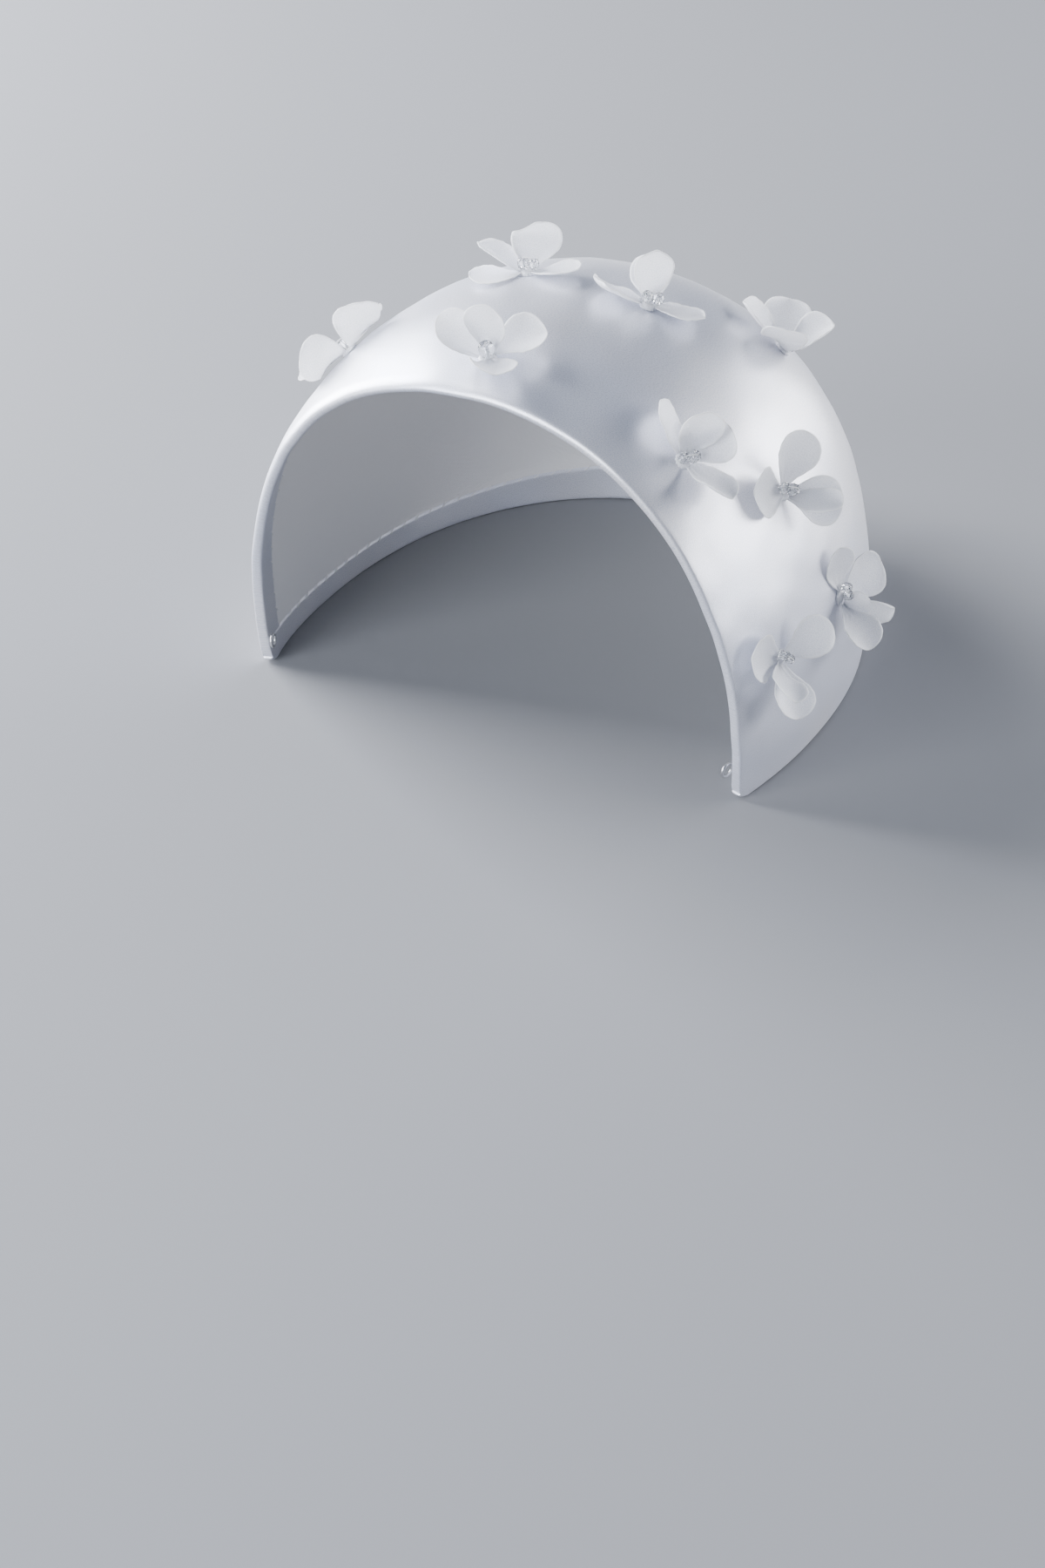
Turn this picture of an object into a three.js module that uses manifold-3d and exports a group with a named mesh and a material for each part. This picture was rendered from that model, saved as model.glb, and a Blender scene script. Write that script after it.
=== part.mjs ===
// Bridal half hat: a stiff shell covered in white satin that runs over the crown from ear to ear,
// scattered with small four-petalled cloth flowers which hold clear glass beads.
// Millimetres, +Z up, +X the wearer's left, -Y the wearer's face. It stands on its level lower edge.
import * as THREE from "three";
import { mergeVertices } from "three/addons/utils/BufferGeometryUtils.js";
import Module from "manifold-3d";

const wasm = await Module();
wasm.setup();

// The outside follows a rounded block, a superellipsoid whose middle stands above the table.
const block = {
  halfWidth: 81.4,
  halfDepth: 97.5,
  halfHeight: 96.5,
  squareness: 2.17,
  leanBack: THREE.MathUtils.degToRad(6.05),
  middleHeight: 15.2,
};

// The front edge lies in one plane. It starts at the tips and leans a little towards the face.
const frontEdge = { tipForward: 39.4, lean: 0.0433, cornerRadius: 5 };

// The covered wall, which swells into a wired roll along the front edge.
const wall = {
  thickness: 3,
  rollThickness: 4.4,
  rollFade: 9,
  shortestForRoll: 14.4,
  noseSteps: [0, 45, 90],
  stations: 16,
  crowding: 1.35,
  steps: 12,
  tipShare: 0.006,
};
const rimForm = { cornerSteps: 4, lineSteps: 60, lengthSteps: 600 };
const closeEnough = { search: 1e-7, merge: 1e-4, share: 0.001 };

const petalForm = {
  width: 12.4,
  thickness: 1,
  hollow: 1.3,
  footShare: 0.3,
  swell: 1.2,
  widestAt: 0.62,
  roundness: 2.5,
  end: 0.985,
  settledAt: 0.5,
  rows: 5,
  columns: 3,
};
const heart = { radius: 2.8, gap: 0.35, height: 1.1, sides: 8, footOffset: 2 };
const beadForm = { sides: 10, holeRadius: 0.45, seatGap: 0.4, pairGap: 0.3, shoulder: 38 };
const loopForm = {
  heightUp: 8,
  ringRadius: 1.75,
  wireRadius: 0.4,
  wireSides: 6,
  sides: 12,
  gap: 0.3,
  behindEdge: -0.2,
};

// Petal shapes. Clock is the way the petal points, in degrees from the line that climbs to the
// crown, counted anticlockwise from outside. Lift is its slope off the cloth, roll its turn about
// its own length and bend the angle that its curve turns through, all in degrees. Reach is its
// straight length.
const petalSets = {
  leaning: [
    { clock: -104, lift: 25, roll: 52, bend: 23, reach: 14.5 },
    { clock: -1, lift: 33, roll: -40, bend: 21, reach: 14.6 },
    { clock: 62, lift: 12, roll: -15, bend: 16, reach: 14.2 },
    { clock: -165, lift: 16, roll: -20, bend: 16, reach: 14.2 },
  ],
  folded: [
    { clock: -140, lift: 29, roll: -9, bend: 21, reach: 14.4 },
    { clock: 136, lift: 42, roll: 9, bend: 26, reach: 14.8 },
    { clock: -84, lift: 9, roll: 24, bend: 16, reach: 14.4 },
    { clock: 28, lift: 9, roll: -24, bend: 16, reach: 14.5 },
  ],
  open: [
    { clock: -59, lift: 16, roll: 9, bend: 8, reach: 14.8 },
    { clock: 30, lift: 10, roll: 12, bend: 16, reach: 14.6 },
    { clock: 104, lift: 16, roll: 6, bend: 16, reach: 14.4 },
    { clock: -143, lift: 18, roll: -28, bend: 18, reach: 14.6 },
  ],
  upright: [
    { clock: 3, lift: 12, roll: 28, bend: 16, reach: 15.4 },
    { clock: -75, lift: 62, roll: 10, bend: 21, reach: 13 },
    { clock: -84, lift: 27, roll: -40, bend: 21, reach: 14.4 },
    { clock: 170, lift: 9, roll: -4, bend: 16, reach: 14 },
  ],
  cup: [
    { clock: -14, lift: 9, roll: 4, bend: 16, reach: 15.4 },
    { clock: -72, lift: 30, roll: -48, bend: 28, reach: 14.4 },
    { clock: 51, lift: 27, roll: 44, bend: 24, reach: 14.6 },
    { clock: -163, lift: 66, roll: -12, bend: 16, reach: 14.2 },
  ],
  winged: [
    { clock: -1, lift: 14, roll: 32, bend: 19, reach: 14.6 },
    { clock: -33, lift: 54, roll: 8, bend: 14, reach: 14 },
    { clock: -98, lift: 12, roll: 26, bend: 16, reach: 14.4 },
    { clock: -158, lift: 17, roll: -30, bend: 19, reach: 13.6 },
  ],
  cross: [
    { clock: -29, lift: 29, roll: -18, bend: 13, reach: 15.2 },
    { clock: 65, lift: 9, roll: -10, bend: 16, reach: 15.2 },
    { clock: -160, lift: 58, roll: -26, bend: 19, reach: 14 },
    { clock: -138, lift: 30, roll: 10, bend: 24, reach: 14.6 },
  ],
  ruffled: [
    { clock: 12, lift: 13, roll: -28, bend: 16, reach: 15.2 },
    { clock: -74, lift: 27, roll: -30, bend: 32, reach: 14.2 },
    { clock: -126, lift: 66, roll: 62, bend: 8, reach: 13.4 },
    { clock: 146, lift: 42, roll: 32, bend: 14, reach: 14.4 },
  ],
  drooping: [
    { clock: 57, lift: 9, roll: 6, bend: 16, reach: 15.2 },
    { clock: -72, lift: 31, roll: -3, bend: 34, reach: 14.2 },
    { clock: 103, lift: 44, roll: 52, bend: 16, reach: 14.2 },
    { clock: -172, lift: 18, roll: 34, bend: 22, reach: 14.2 },
  ],
};

// Flowers. Around is the turn from the face towards the wearer's left and up the height over the
// block's middle, in degrees. Turn swings all four petals, and beadTurn the row of beads.
const flowers = [
  { around: -75, up: 54, petals: "leaning", turn: 0, beads: [3, 2.8], beadTurn: 75 },
  { around: -133, up: 79, petals: "folded", turn: 0, beads: [3.2, 2.8], beadTurn: 45 },
  { around: 1, up: 71.5, petals: "open", turn: 0, beads: [4.2], beadTurn: 0 },
  { around: 122, up: 73.5, petals: "upright", turn: 0, beads: [3, 3], beadTurn: 15 },
  { around: 135.5, up: 46.5, petals: "cup", turn: 0, beads: [2.8, 2.6], beadTurn: 120 },
  { around: 64, up: 51, petals: "winged", turn: 0, beads: [3.2, 2.8], beadTurn: 75 },
  { around: 89, up: 38.5, petals: "cross", turn: 0, beads: [3, 3.4], beadTurn: 90 },
  { around: 100, up: 12.8, petals: "ruffled", turn: 0, beads: [2.8, 2.6], beadTurn: 180 },
  { around: 74.5, up: 12.8, petals: "drooping", turn: 0, beads: [2.8, 2.6], beadTurn: 225 },
  { around: -98, up: 13, petals: "winged", turn: 150, beads: [3, 2.8], beadTurn: 45 },
  { around: -119, up: 31, petals: "open", turn: 75, beads: [3.2, 2.8], beadTurn: 120 },
  { around: -138, up: 9, petals: "cross", turn: -95, beads: [2.8, 3], beadTurn: 0 },
  { around: -152, up: 35, petals: "folded", turn: 60, beads: [3, 3], beadTurn: 105 },
  { around: -173, up: 15, petals: "cup", turn: 130, beads: [2.8, 2.6], beadTurn: 250 },
  { around: 165, up: 11, petals: "drooping", turn: 200, beads: [3, 2.8], beadTurn: 30 },
];

const satin = new THREE.MeshStandardMaterial({ color: "#f1eeee", roughness: 0.45, metalness: 0 });
const organza = new THREE.MeshStandardMaterial({ color: "#f6f4f4", roughness: 0.7, metalness: 0 });
const glass = new THREE.MeshStandardMaterial({ color: "#e6e6e2", roughness: 0.05, metalness: 0 });
const steel = new THREE.MeshStandardMaterial({ color: "#b9babd", roughness: 0.3, metalness: 1 });

const xAxis = new THREE.Vector3(1, 0, 0);
const yAxis = new THREE.Vector3(0, 1, 0);
const zAxis = new THREE.Vector3(0, 0, 1);
const middle = new THREE.Vector3(0, 0, block.middleHeight);
const mix = THREE.MathUtils.lerp;
const radians = THREE.MathUtils.degToRad;

// ---- Solids from rings ----

// A closed body through rings of equally many points, with both end rings filled. The fill zips
// the ring's two sides together from its first point on.
function throughRings(rings) {
  const size = rings[0].length;
  const positions = rings.flat().flatMap((point) => point.toArray());
  const indices = [];
  for (let r = 0; r + 1 < rings.length; r += 1) {
    for (let i = 0; i < size; i += 1) {
      const next = (i + 1) % size;
      const a = r * size + i;
      const b = r * size + next;
      indices.push(a, b, b + size, a, b + size, a + size);
    }
  }
  const last = (rings.length - 1) * size;
  for (let i = 0, j = size - 1; i + 1 < j; i += 1, j -= 1) {
    indices.push(i, j, i + 1);
    indices.push(last + i, last + i + 1, last + j);
    if (i + 1 < j - 1) {
      indices.push(i + 1, j, j - 1);
      indices.push(last + i + 1, last + j - 1, last + j);
    }
  }
  const geometry = new THREE.BufferGeometry();
  geometry.setAttribute("position", new THREE.Float32BufferAttribute(positions, 3));
  geometry.setIndex(indices);
  return geometry;
}

function toSolid(geometry) {
  const plain = new THREE.BufferGeometry();
  plain.setAttribute("position", geometry.getAttribute("position"));
  plain.setIndex(geometry.getIndex());
  const merged = mergeVertices(plain, closeEnough.merge);
  const vertProperties = new Float32Array(merged.getAttribute("position").array);
  const triVerts = new Uint32Array(merged.getIndex().array);
  return new wasm.Manifold(new wasm.Mesh({ numProp: 3, vertProperties, triVerts }));
}

function toGeometry(solid) {
  const mesh = solid.getMesh();
  const geometry = new THREE.BufferGeometry();
  geometry.setAttribute("position", new THREE.Float32BufferAttribute(mesh.vertProperties, 3));
  geometry.setIndex(Array.from(mesh.triVerts));
  return geometry;
}

// ---- The rounded block ----

// How far the block reaches from its middle along a direction.
function reachOf(direction) {
  const d = direction.clone().normalize().applyAxisAngle(xAxis, block.leanBack);
  const n = block.squareness;
  const sum =
    Math.abs(d.x / block.halfWidth) ** n +
    Math.abs(d.y / block.halfDepth) ** n +
    Math.abs(d.z / block.halfHeight) ** n;
  return sum ** (-1 / n);
}

function onBlock(direction) {
  return direction.clone().setLength(reachOf(direction)).add(middle);
}

function slope(distance, half) {
  return (Math.sign(distance) * Math.abs(distance / half) ** (block.squareness - 1)) / half;
}

function outwardAt(point) {
  const d = point.clone().sub(middle).applyAxisAngle(xAxis, block.leanBack);
  const outward = new THREE.Vector3(
    slope(d.x, block.halfWidth),
    slope(d.y, block.halfDepth),
    slope(d.z, block.halfHeight),
  );
  return outward.applyAxisAngle(xAxis, -block.leanBack).normalize();
}

// Half the block's width where a side view shows a place, y back and z up.
function halfWidthAt(place) {
  const d = new THREE.Vector3(0, place.x, place.y).sub(middle).applyAxisAngle(xAxis, block.leanBack);
  const n = block.squareness;
  const left = 1 - Math.abs(d.y / block.halfDepth) ** n - Math.abs(d.z / block.halfHeight) ** n;
  return block.halfWidth * Math.max(left, 0) ** (1 / n);
}

// ---- The rim ----

// Where a straight line of the side view leaves the block.
function endOfLine(start, way) {
  let inside = 0;
  let outside = 4 * block.halfDepth;
  while (outside - inside > closeEnough.search) {
    const half = (inside + outside) / 2;
    if (halfWidthAt(start.clone().addScaledVector(way, half)) > 0) inside = half;
    else outside = half;
  }
  return start.clone().addScaledVector(way, inside);
}

// Half of the rim as a curve in space: the tip's round corner from its middle to one of its ends,
// then the straight line of the side view up to the block's midline.
function rimHalf(corner, cornerEnd, way) {
  const { cornerSteps, lineSteps, lengthSteps } = rimForm;
  const places = [];
  for (let i = 0; i < cornerSteps; i += 1) {
    places.push(corner.getPoint(mix(0.5, cornerEnd, i / cornerSteps)));
  }
  const start = corner.getPoint(cornerEnd);
  const end = endOfLine(start, way);
  for (let i = 0; i <= lineSteps; i += 1) {
    places.push(start.clone().lerp(end, Math.sin(((i / lineSteps) * Math.PI) / 2)));
  }
  const points = places.map((place) => new THREE.Vector3(halfWidthAt(place), place.x, place.y));
  points.at(-1).x = 0;
  const curve = new THREE.CatmullRomCurve3(points, false, "centripetal");
  curve.arcLengthDivisions = lengthSteps;
  return curve;
}

function rimCurves() {
  const tip = new THREE.Vector2(-frontEdge.tipForward, 0);
  const up = new THREE.Vector2(-frontEdge.lean, 1).normalize();
  const back = new THREE.Vector2(1, 0);
  const cut = frontEdge.cornerRadius / Math.tan(up.angleTo(back) / 2);
  const frontStart = tip.clone().addScaledVector(up, cut);
  const lowStart = tip.clone().addScaledVector(back, cut);
  const corner = new THREE.QuadraticBezierCurve(frontStart, tip, lowStart);
  return { front: rimHalf(corner, 0, up), low: rimHalf(corner, 1, back) };
}

// ---- The shell ----

// A point on the arc that runs over the block from one rim point to another, moved in or out.
function shellPoint(from, to, share, offset) {
  const start = from.clone().sub(middle).normalize();
  const end = to.clone().sub(middle).normalize();
  const turn = start.angleTo(end);
  const a = Math.sin((1 - share) * turn) / Math.sin(turn);
  const b = Math.sin(share * turn) / Math.sin(turn);
  const point = onBlock(start.multiplyScalar(a).addScaledVector(end, b));
  return point.addScaledVector(outwardAt(point), offset);
}

// One ring round the wall's section: the front roll, the outside, the flat lower edge, the inside.
function shellRing(from, to) {
  const start = from.clone().sub(middle);
  const length = start.angleTo(to.clone().sub(middle)) * start.length();
  const fullness = Math.min(1, length / wall.shortestForRoll);
  const rollRadius = mix(wall.thickness, wall.rollThickness, fullness) / 2;
  const centre = -wall.thickness / 2;
  const alongOf = (mm) => (mm * fullness) / length;
  const nose = (degrees) => {
    const across = rollRadius * Math.sin(radians(degrees));
    const along = rollRadius * (1 - Math.cos(radians(degrees)));
    return shellPoint(from, to, alongOf(along), centre + across);
  };
  const fade = alongOf(wall.rollFade);
  const outside = [];
  const inside = [];
  for (let i = 0; i < wall.steps; i += 1) {
    const share = mix(fade, 1, i / wall.steps);
    outside.push(shellPoint(from, to, share, 0));
    inside.unshift(shellPoint(from, to, share, -wall.thickness));
  }
  const lowInside = to.clone().addScaledVector(outwardAt(to).setZ(0).normalize(), -wall.thickness);
  const noseTop = wall.noseSteps.map((degrees) => nose(degrees));
  const noseUnder = wall.noseSteps.slice(1).map((degrees) => nose(-degrees)).reverse();
  return [...noseTop, ...outside, to.clone(), lowInside, ...inside, ...noseUnder];
}

function shellGeometry() {
  const { front, low } = rimCurves();
  const rings = [];
  for (let i = wall.stations; i >= -wall.stations; i -= 1) {
    const climb = 1 - Math.abs(i) / wall.stations;
    const along = mix(wall.tipShare, 1, climb ** wall.crowding);
    const flip = new THREE.Vector3(Math.sign(i), 1, 1);
    const lowPoint = low.getPointAt(along).multiply(flip);
    lowPoint.setZ(Math.max(0, lowPoint.z));
    rings.push(shellRing(front.getPointAt(along).multiply(flip), lowPoint));
  }
  return throughRings(rings);
}

// ---- The flowers ----

function wayOf(frame, degrees) {
  const angle = radians(degrees);
  return frame.climb.clone().multiplyScalar(Math.cos(angle)).addScaledVector(frame.round, Math.sin(angle));
}

// How far a flower's heart can come down onto the shell: the least drop from its middle or corners.
function dropToShell(frame, shell) {
  const starts = [frame.foot.clone()];
  for (let i = 0; i < heart.sides; i += 1) {
    const way = wayOf(frame, (360 * i) / heart.sides);
    starts.push(frame.foot.clone().addScaledVector(way, heart.radius));
  }
  const down = frame.out.clone().negate();
  const drops = starts.map((start) => {
    const above = start.addScaledVector(frame.out, heart.radius);
    const [hit] = new THREE.Raycaster(above, down).intersectObject(shell);
    return hit.distance - heart.radius;
  });
  return Math.min(...drops);
}

// The place of a flower: where it is sewn, its outward line, the way to the crown and the way round.
function flowerFrame(flower, shell) {
  const direction = new THREE.Vector3(0, -1, 0)
    .applyAxisAngle(xAxis, -radians(flower.up))
    .applyAxisAngle(zAxis, radians(flower.around));
  const foot = onBlock(direction);
  const out = outwardAt(foot);
  const climb = zAxis.clone().projectOnPlane(out).normalize();
  const frame = { foot, out, climb, round: out.clone().cross(climb) };
  foot.addScaledVector(out, -dropToShell(frame, shell));
  return frame;
}

// A petal's width at a share of its length, as a share of the full width.
function petalWidth(share) {
  const { footShare, swell, widestAt, roundness } = petalForm;
  if (share < widestAt) {
    return mix(footShare, 1, Math.sin((share / widestAt) * (Math.PI / 2)) ** swell);
  }
  return Math.sqrt(1 - ((share - widestAt) / (1 - widestAt)) ** roundness);
}

function petalGeometry(frame, turn, { clock, lift, roll, bend, reach }) {
  const way = wayOf(frame, clock + turn);
  const chord = way.clone().multiplyScalar(Math.cos(radians(lift)))
    .addScaledVector(frame.out, Math.sin(radians(lift)));
  const level = frame.out.clone().cross(way);
  const inner = chord.clone().cross(level);
  const foot = frame.foot.clone()
    .addScaledVector(frame.out, heart.gap + heart.height / 2)
    .addScaledVector(way, heart.footOffset);
  const arc = radians(bend);
  const radius = reach / (2 * Math.sin(arc / 2));
  const rings = [];
  for (let r = 0; r < petalForm.rows; r += 1) {
    const share = petalForm.end * Math.sin(((r / (petalForm.rows - 1)) * Math.PI) / 2);
    const angle = arc * (share - 0.5);
    const spine = foot.clone()
      .addScaledVector(chord, radius * (Math.sin(angle) + Math.sin(arc / 2)))
      .addScaledVector(inner, radius * (Math.cos(arc / 2) - Math.cos(angle)));
    const along = chord.clone().multiplyScalar(Math.cos(angle)).addScaledVector(inner, Math.sin(angle));
    const twist = radians(roll) * Math.min(1, share / petalForm.settledAt);
    const side = level.clone().applyAxisAngle(along, twist);
    const up = along.clone().cross(side);
    const width = petalWidth(share);
    const rowAt = (offset) => Array.from({ length: petalForm.columns }, (_, c) => {
      const across = mix(-1, 1, c / (petalForm.columns - 1));
      return spine.clone()
        .addScaledVector(side, (across * width * petalForm.width) / 2)
        .addScaledVector(up, petalForm.hollow * width * across ** 2 + offset);
    });
    rings.push([...rowAt(-petalForm.thickness / 2), ...rowAt(petalForm.thickness / 2).reverse()]);
  }
  return throughRings(rings);
}

// Turns a geometry made about +Z so that its +Z points along a line, and moves it to a place.
function standOn(geometry, line, place) {
  geometry.applyQuaternion(new THREE.Quaternion().setFromUnitVectors(zAxis, line));
  return geometry.translate(place.x, place.y, place.z);
}

function heartGeometry(frame) {
  const disc = new THREE.CylinderGeometry(heart.radius, heart.radius, heart.height, heart.sides);
  disc.rotateX(Math.PI / 2);
  const place = frame.foot.clone().addScaledVector(frame.out, heart.gap + heart.height / 2);
  return standOn(disc, frame.out, place);
}

function blossomGeometry(frame, flower) {
  const petals = petalSets[flower.petals];
  const solids = petals.map((petal) => toSolid(petalGeometry(frame, flower.turn, petal)));
  return toGeometry(solids.reduce((whole, petal) => whole.add(petal), toSolid(heartGeometry(frame))));
}

// ---- Beads and loops ----

// A round bead with a hole through it, about +Z.
function beadGeometry(radius) {
  const outline = [];
  const mouth = Math.sqrt(radius ** 2 - beadForm.holeRadius ** 2);
  outline.push(new THREE.Vector2(beadForm.holeRadius, -mouth));
  for (const degrees of [-beadForm.shoulder, 0, beadForm.shoulder]) {
    const angle = radians(degrees);
    outline.push(new THREE.Vector2(radius * Math.cos(angle), radius * Math.sin(angle)));
  }
  outline.push(new THREE.Vector2(beadForm.holeRadius, mouth));
  outline.push(outline[0].clone());
  const geometry = new THREE.LatheGeometry(outline, beadForm.sides);
  return geometry.rotateX(Math.PI / 2);
}

function beadMeshes(frame, flower, number) {
  const way = wayOf(frame, flower.beadTurn);
  const radii = flower.beads.map((size) => size / 2);
  const spread = radii.length > 1 ? radii[0] + radii[1] + beadForm.pairGap : 0;
  return radii.map((radius, i) => {
    const height = heart.gap + heart.height + beadForm.seatGap + radius;
    const place = frame.foot.clone()
      .addScaledVector(frame.out, height)
      .addScaledVector(way, spread * (i - 0.5));
    const mesh = new THREE.Mesh(standOn(beadGeometry(radius), frame.out, place), glass);
    mesh.name = `bead_${number}_${"ab"[i]}`;
    return mesh;
  });
}

// A small wire ring flat against the inside of the wall, which peeps out past the front edge.
function loopMesh(side) {
  const { front } = rimCurves();
  let share = 0;
  while (front.getPointAt(share).z < loopForm.heightUp) share += closeEnough.share;
  const edge = front.getPointAt(share).multiply(new THREE.Vector3(side, 1, 1));
  const out = outwardAt(edge);
  const { gap, wireRadius, behindEdge } = loopForm;
  const inward = wall.thickness / 2 + wall.rollThickness / 2 + gap + wireRadius;
  const place = edge.addScaledVector(out, -inward).addScaledVector(yAxis, behindEdge);
  const ring = new THREE.TorusGeometry(loopForm.ringRadius, wireRadius, loopForm.wireSides, loopForm.sides);
  const mesh = new THREE.Mesh(standOn(ring, out, place), steel);
  mesh.name = side > 0 ? "tip_loop_left" : "tip_loop_right";
  return mesh;
}

// ---- The hat ----

const hat = new THREE.Group();
const shell = new THREE.Mesh(shellGeometry(), satin);
shell.name = "hat_shell";
hat.add(shell);

flowers.forEach((flower, i) => {
  const frame = flowerFrame(flower, shell);
  const blossom = new THREE.Mesh(blossomGeometry(frame, flower), organza);
  blossom.name = `blossom_${i + 1}`;
  hat.add(blossom, ...beadMeshes(frame, flower, i + 1));
});

hat.add(loopMesh(1), loopMesh(-1));

// The origin is on the table under the middle of the whole hat.
const bounds = new THREE.Box3().setFromObject(hat);
const centre = bounds.getCenter(new THREE.Vector3());
hat.position.set(-centre.x, -centre.y, -bounds.min.z);

export default hat;
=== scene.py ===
# Bridal half hat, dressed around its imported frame: a satin shell with cloth blossoms and glass beads.
# Sizes are in millimetres and degrees, with x to the wearer's left, y to the back and z up.
# Every mesh is made in metres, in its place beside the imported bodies.
from math import cos, pi, radians, sin, tan

import bpy
import numpy as np
from mathutils import Matrix, Vector, noise


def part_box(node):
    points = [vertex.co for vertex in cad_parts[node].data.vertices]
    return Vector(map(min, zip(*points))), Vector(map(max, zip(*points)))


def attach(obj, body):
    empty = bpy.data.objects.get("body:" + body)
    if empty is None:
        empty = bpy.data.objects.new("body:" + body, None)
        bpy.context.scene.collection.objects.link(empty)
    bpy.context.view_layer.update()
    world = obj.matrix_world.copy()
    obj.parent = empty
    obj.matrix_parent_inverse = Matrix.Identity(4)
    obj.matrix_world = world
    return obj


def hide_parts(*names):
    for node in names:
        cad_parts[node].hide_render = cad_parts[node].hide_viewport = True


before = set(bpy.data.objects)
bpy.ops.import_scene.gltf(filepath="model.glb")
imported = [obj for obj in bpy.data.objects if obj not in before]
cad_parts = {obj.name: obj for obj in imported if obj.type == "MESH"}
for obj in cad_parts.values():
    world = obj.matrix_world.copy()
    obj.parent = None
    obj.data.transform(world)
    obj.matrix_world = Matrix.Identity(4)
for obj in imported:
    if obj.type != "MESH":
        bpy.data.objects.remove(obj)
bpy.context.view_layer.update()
mm = 0.001

# The rounded block that the shell follows.
block = {
    "halfWidth": 81.4,
    "halfDepth": 97.5,
    "halfHeight": 96.5,
    "squareness": 2.17,  # 2 is a plain ellipsoid
    "leanBack": 6.05,
    "middleHeight": 15.2,
}
halves = np.array([block["halfWidth"], block["halfDepth"], block["halfHeight"]])
middle = np.array([0, 0, block["middleHeight"]])


def unit(vectors):
    return vectors / np.linalg.norm(vectors, axis=-1, keepdims=True)


def turned(vectors, axis, angle):
    # Rodrigues' turn of many vectors about one axis, or about an axis each
    along = axis * (vectors * axis).sum(-1, keepdims=True)
    across = np.cross(axis, vectors)
    return vectors * np.cos(angle) + across * np.sin(angle) + along * (1 - np.cos(angle))


def leaned(vectors, way):
    return turned(vectors, np.array([1.0, 0, 0]), way * radians(block["leanBack"]))


def onBlock(directions):
    n = block["squareness"]
    away = leaned(unit(directions), 1)
    reach = (np.abs(away / halves) ** n).sum(-1, keepdims=True) ** (-1 / n)
    return unit(directions) * reach + middle


def outwardAt(points):
    away = leaned(points - middle, 1)
    slope = np.sign(away) * np.abs(away / halves) ** (block["squareness"] - 1) / halves
    return unit(leaned(slope, -1))


def halfWidthAt(places):
    # half the block's width at places of the side view, y back and z up
    n = block["squareness"]
    points = np.column_stack([np.zeros(len(places)), places])
    away = leaned(points - middle, 1)
    left = 1 - (np.abs(away[:, 1:] / halves[1:]) ** n).sum(1)
    return block["halfWidth"] * np.maximum(left, 0) ** (1 / n)


# The rim: a straight front edge, a level lower edge and a round corner between them.
rim = {
    "tipForward": 39.4,
    "lean": 0.0433,
    "cornerRadius": 5,
    "cornerPoints": 24,
    "linePoints": 400,
    "farthest": 400,
    "halvings": 50,
    "halfWall": 1.5,
}


def endOfLine(start, way):
    # the point where a line of the side view leaves the block, found by halving
    inside, outside = 0, rim["farthest"]
    for _ in range(rim["halvings"]):
        half = (inside + outside) / 2
        if halfWidthAt((start + way * half)[None])[0] > 0:
            inside = half
        else:
            outside = half
    return start + way * inside


def rimHalf(corner, way):
    # corner is from its middle outwards; the line then runs to the block's midline
    end = endOfLine(corner[-1], way)
    steps = np.sin(np.linspace(0, pi / 2, rim["linePoints"]))[1:, None]
    places = np.vstack([corner, corner[-1] + (end - corner[-1]) * steps])
    points = np.column_stack([halfWidthAt(places), places])
    points[-1, 0] = 0
    lengths = np.concatenate([[0], np.cumsum(np.linalg.norm(np.diff(points, axis=0), axis=1))])
    return points, lengths


def rimAt(half, share):
    points, lengths = half
    return np.array([np.interp(share * lengths[-1], lengths, points[:, axis]) for axis in range(3)])


def rimCurves():
    tip = np.array([-rim["tipForward"], 0.0])
    up = unit(np.array([-rim["lean"], 1.0]))
    back = np.array([1.0, 0.0])
    cut = rim["cornerRadius"] / tan(np.arccos(up @ back) / 2)
    first, last = tip + up * cut, tip + back * cut
    t = np.linspace(0.5, 1, rim["cornerPoints"])[:, None]
    lowCorner = (1 - t) ** 2 * first + 2 * t * (1 - t) * tip + t ** 2 * last
    frontCorner = t ** 2 * first + 2 * t * (1 - t) * tip + (1 - t) ** 2 * last
    return rimHalf(frontCorner, up), rimHalf(lowCorner, back)


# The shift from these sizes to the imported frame, read off the front and middle of the shell's own box.
frontRim, lowRim = rimCurves()
shellLow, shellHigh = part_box("hat_shell")
edgeTop = rimAt(frontRim, 1)
noseTop = edgeTop - outwardAt(edgeTop) * rim["halfWall"]
rowShift = Vector(((shellLow.x + shellHigh.x) / 2, shellLow.y - noseTop[1] * mm, 0))


def placed(points):
    # from millimetres to metres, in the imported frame
    return (np.asarray(points) * mm + np.array(rowShift)).tolist()


def newObject(name, data):
    made = bpy.data.objects.new(name, data)
    bpy.context.scene.collection.objects.link(made)
    return made


def newPiece(name, points, faces, materials, faceMaterials=None):
    mesh = bpy.data.meshes.new(name)
    mesh.from_pydata(placed(points), [], faces)
    mesh.polygons.foreach_set("use_smooth", [True] * len(mesh.polygons))
    for material in materials:
        mesh.materials.append(material)
    if faceMaterials is not None:
        mesh.polygons.foreach_set("material_index", faceMaterials)
    mesh.update()
    return newObject(name, mesh)


def addClothMap(piece, uvPoints):
    # the UV map that threads follow, in metres, with one place for each point
    corners = np.empty(len(piece.data.loops), int)
    piece.data.loops.foreach_get("vertex_index", corners)
    piece.data.uv_layers.new(name="cloth").data.foreach_set("uv", uvPoints[corners].ravel())


def ringFaces(rings, size, wrapped=False):
    # four-cornered faces between closed rings of points, from the last ring to the first too if wrapped
    faces = []
    for r in range(rings if wrapped else rings - 1):
        low, high = r * size, (r + 1) % rings * size
        for j in range(size):
            k = (j + 1) % size
            faces.append((low + j, high + j, high + k, low + k))
    return faces


def smoothStep(x, low, high):
    t = np.clip((x - low) / (high - low), 0, 1)
    return t * t * (3 - 2 * t)


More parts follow.
